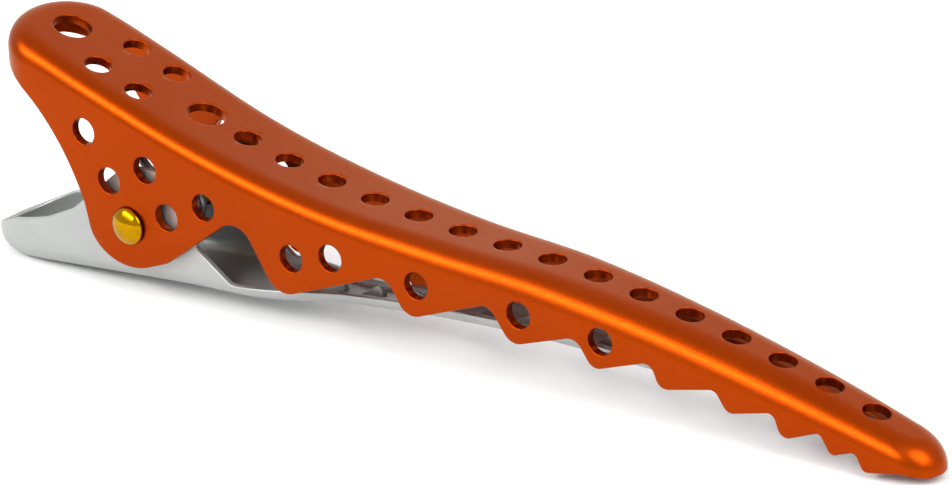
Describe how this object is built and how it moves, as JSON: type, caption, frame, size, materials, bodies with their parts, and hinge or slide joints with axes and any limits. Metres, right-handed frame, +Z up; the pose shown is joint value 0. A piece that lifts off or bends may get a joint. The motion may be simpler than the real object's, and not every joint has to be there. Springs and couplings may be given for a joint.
{
  "type": "hair sectioning clip",
  "caption": "Long toothed hair sectioning clip: perforated orange aluminium upper jaw over a sprung polished lever jaw, on one domed rivet.",
  "frame": {"origin": "centre of the footprint at the height of the surface the clip lies on", "axes": "+X along the clip from the thumb lever to the nose, +Y across it along the hinge, +Z up through the back"},
  "size_m": [0.1164, 0.016, 0.0263],
  "materials": {
    "anodised_orange": "satin orange anodised",
    "polished_steel": "polished",
    "spring_wire": "drawn wire",
    "gold_rivet": "polished gold plate"
  },
  "bodies": {
    "upper": {"upper_jaw": "anodised_orange", "rivet_post": "gold_rivet", "rivet_barrel": "gold_rivet", "torsion_spring": "spring_wire"},
    "lower": {"lower_jaw": "polished_steel"}
  },
  "joints": [
    {"name": "jaw_hinge", "type": "hinge", "parent": "upper", "child": "lower", "pos_m": [-0.03556, 0, 0.00806], "axis": [0, 1, 0], "range_deg": [0, 32], "stiffness_Nm_per_rad": 0.06, "springref_deg": -57.3, "deforming": ["torsion_spring"]}
  ]
}
